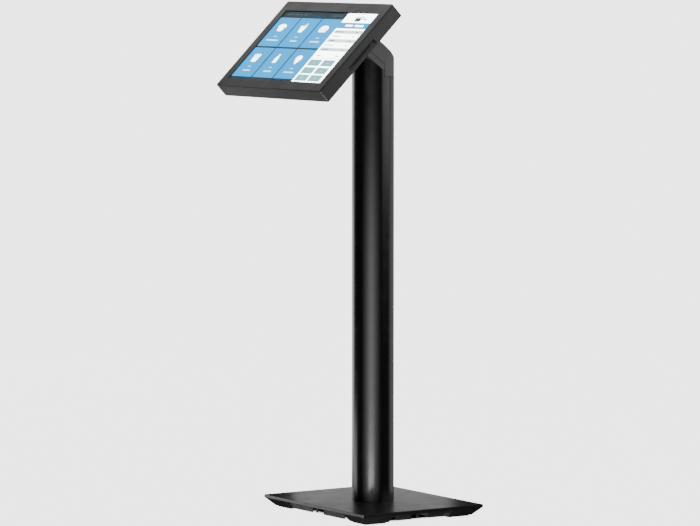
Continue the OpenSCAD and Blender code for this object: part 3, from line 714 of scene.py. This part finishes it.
def make_knuckle_cover():
    """Cover over the tilt bracket: a plate on the head's back and a round knuckle on the tilt axis."""
    steps = 48

    def knuckle(r, half_w, high):
        arc = [(r * cos(pi * i / steps), -r * sin(pi * i / steps)) for i in range(steps + 1)]
        bm = extrude_x([(r, high), *arc, (-r, high)], half_w)
        bm.transform(Matrix.Translation((0, HINGE_UP, -HEAD_T - HINGE_BACK)))
        return bm

    middle = (BRACKET_LOW + BRACKET_HIGH) / 2
    plate = loft([level(rounded(126, BRACKET_HIGH - BRACKET_LOW + 6, 6, middle, 10), z)
                  for z in (-HEAD_T - COVER_T, -HEAD_T)])
    hollow = loft([level(rounded(121, BRACKET_HIGH - BRACKET_LOW - 2, 3, middle), z)
                   for z in (-HEAD_T - COVER_T + 2, -HEAD_T + 1)])
    turns = [radians(a) for a in (-36, -60, -85, -110, -138)]
    window = extrude_x([(0, 0)] + [(60 * cos(a), 60 * sin(a)) for a in turns], 25.4)
    window.transform(Matrix.Translation((0, HINGE_UP, -HEAD_T - HINGE_BACK)))
    bm = carve(plate, ("UNION", knuckle(KNUCKLE_R, TUBE_R, HINGE_BACK - 3)), ("DIFFERENCE", hollow),
               ("DIFFERENCE", knuckle(KNUCKLE_R - 2.5, TUBE_R - 2.5, HINGE_BACK + 1)),
               ("DIFFERENCE", window))
    piece("knuckle_cover", bm, HEAD, "head", "neck_plastic", ["tilt_cover"], edge=0.5)


def make_button():
    """Round power button with a dished face and a rounded lip."""
    cap = lathe([(0, 0.7), (2.2, 0.75), (3.6, 0.95), (4.3, 1.2), (4.75, 1.1), (5.0, 0.7), (5.0, -1.15),
                 (6.35, -1.15), (6.35, -2.5), (1.5, -2.5), (1.5, -5.0), (0, -5.0)], 56)
    cap.transform(Matrix.Translation((-HEAD_W / 2 + 1.5, BUTTON_V, BUTTON_W))
                  @ Matrix.Rotation(-pi / 2, 4, "Y"))
    return cap


def make_mouth():
    """Card mouth: a smooth hollow along the head's side, with the slot at its bottom."""
    edge, length, depth, steps = HEAD_W / 2, MOUTH_LEN - 0.6, 4.2, 32
    low, high = MOUTH_BACK + 0.3, MOUTH_FRONT - 0.3

    def prism(outline, long):
        return loft([[(edge + x, y * long / 2, w) for x, w in outline] for y in (-1, 1)])

    hollow = [(-0.2 - depth * sin(pi * i / steps) ** 2, low + (high - low) * i / steps)
              for i in range(steps + 1)]
    body = prism([(-9, low), (-0.2, low), (-0.2, high), (-9, high)], length)
    slot = prism([(-12, SLOT_W - 0.6), (0, SLOT_W - 0.6), (0, SLOT_W + 0.6), (-12, SLOT_W + 0.6)], 56)
    bm = carve(body, ("DIFFERENCE", prism([(2, low), *hollow, (2, high)], length - 1.6)),
               ("DIFFERENCE", slot))
    piece("card_mouth", bm, HEAD, "head", "inner_plastic", ["reader_mouth"], edge=0.1,
          finish=FINISHES["head_plastic"])


make_housing()
make_mouth()
make_knuckle_cover()
piece("button_cap", make_button(), HEAD, "power_button", "inner_plastic", ["power_button"], edge=0.12)


# ---------------------------------------------------------------- stage and light
FLOOR_GLOW = 3.5


def make_stage():
    """Plain pale floor, lit evenly out to the horizon, with a painted shadow deep under the plate."""
    bm = bmesh.new()
    half = 200.0
    corners = [(-half, -half), (half, -half), (half, half), (-half, half)]
    bm.faces.new([bm.verts.new((x, y, 0.0)) for x, y in corners])
    floor = loose_object(bm, "floor")
    n = Nodes("floor_glow_with_painted_shadow")
    n.colour(n.blend_colours(n.noise(0.8, 3.0), (0.04, 0.04, 0.04), (0.05, 0.05, 0.05)))
    n.rough(n.spread(n.noise(3.0), 0.75, 0.85))
    # Distance outside the plate's outline
    low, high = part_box("base_plate")
    parts = n.add("ShaderNodeSeparateXYZ")
    n.link(n.place, parts.inputs[0])
    outside = None
    for axis, reach in (("X", high.x), ("Y", high.y)):
        size = n.add("ShaderNodeMath", operation="ABSOLUTE")
        n.link(parts.outputs[axis], size.inputs[0])
        past = n.add("ShaderNodeMath", operation="SUBTRACT")
        n.link(size.outputs[0], past.inputs[0])
        past.inputs[1].default_value = reach
        if outside:
            both = n.add("ShaderNodeMath", operation="MAXIMUM")
            n.link(outside, both.inputs[0])
            n.link(past.outputs[0], both.inputs[1])
            outside = both.outputs[0]
        else:
            outside = past.outputs[0]
    # Painted shadow: the floor's glow fades to nothing from 30 mm to 50 mm inside the plate's outline
    n.link(n.spread(outside, 0.0, FLOOR_GLOW, -0.05, -0.03), n.shader.inputs["Emission Strength"])
    n.set(Emission_Color=(1, 1, 1, 1), Specular_IOR_Level=0.0)
    dress(floor, n.material)
    floor.visible_glossy = floor.visible_diffuse = floor.visible_shadow = False


def softbox(name, turn, rise, distance, size, radiance, aim=(0, 0, 0.55)):
    """Area light so many degrees right of the camera and above the level of its aim."""
    turn, rise = radians(VIEW_TURN + turn), radians(rise)
    away = Vector((sin(turn) * cos(rise), -cos(turn) * cos(rise), sin(rise)))
    data = bpy.data.lights.new(name, "AREA")
    data.shape = "RECTANGLE"
    data.size, data.size_y = size
    data.energy = radiance * pi * size[0] * size[1]
    lamp = bpy.data.objects.new(name, data)
    scene.collection.objects.link(lamp)
    lamp.location = Vector(aim) + away * distance
    lamp.rotation_euler = away.to_track_quat("Z", "Y").to_euler()
    lamp.visible_camera = False
    return lamp


def make_lights():
    world = bpy.data.worlds.new("studio")
    world.use_nodes = True
    scene.world = world
    tree = world.node_tree
    sky = tree.nodes["Background"]
    ray = tree.nodes.new("ShaderNodeLightPath")
    strength = tree.nodes.new("ShaderNodeMapRange")
    strength.inputs["To Min"].default_value = 0.05
    strength.inputs["To Max"].default_value = FLOOR_GLOW
    tree.links.new(ray.outputs["Is Camera Ray"], strength.inputs["Value"])
    tree.links.new(strength.outputs["Result"], sky.inputs["Strength"])
    sky.inputs["Color"].default_value = (1, 1, 1, 1)
    # Strips that fade to both sides, as the highlight on the column does
    for strip, share in enumerate((0.15, 0.4, 0.75, 1.0, 0.75, 0.4, 0.15)):
        turn = 13 * (strip - 3)
        softbox("key_%d" % strip, turn - 9, 0, 3.0, (0.68, 1.2), 3.8 * share, (0, 0, -0.1))
    softbox("left_rim", -144, 0, 3.0, (2.3, 1.7), 2.0, (0, 0, 0.55))
    softbox("left_low", -113, -9, 1.2, (0.7, 0.4), 2.4, (-0.05, -0.146, 0.02))
    softbox("left_face", -142, 36, 0.9, (0.7, 0.7), 1.4, (-0.005, 0.085, 0.99))
    softbox("left_under", -148, -33, 1.2, (0.9, 0.7), 0.3, (-0.1, -0.2, 0.9))
    softbox("corner", -7, -63, 1.2, (0.45, 0.45), 22.0, (0.19, -0.2, 0.88)).visible_diffuse = False
    softbox("right_back", 122, 5, 3.0, (2.4, 3.0), 0.75)
    softbox("right_high", 76, 0, 2.6, (2.3, 1.2), 1.9, (0, 0, 1.15))
    softbox("right_top", 45, 58, 2.8, (1.8, 1.8), 4.4, (0, 0, 0.9))
    softbox("back_low", 180, 12, 0.45, (0.34, 0.2), 0.8, (0, 0, 0)).visible_diffuse = False


make_stage()
make_lights()
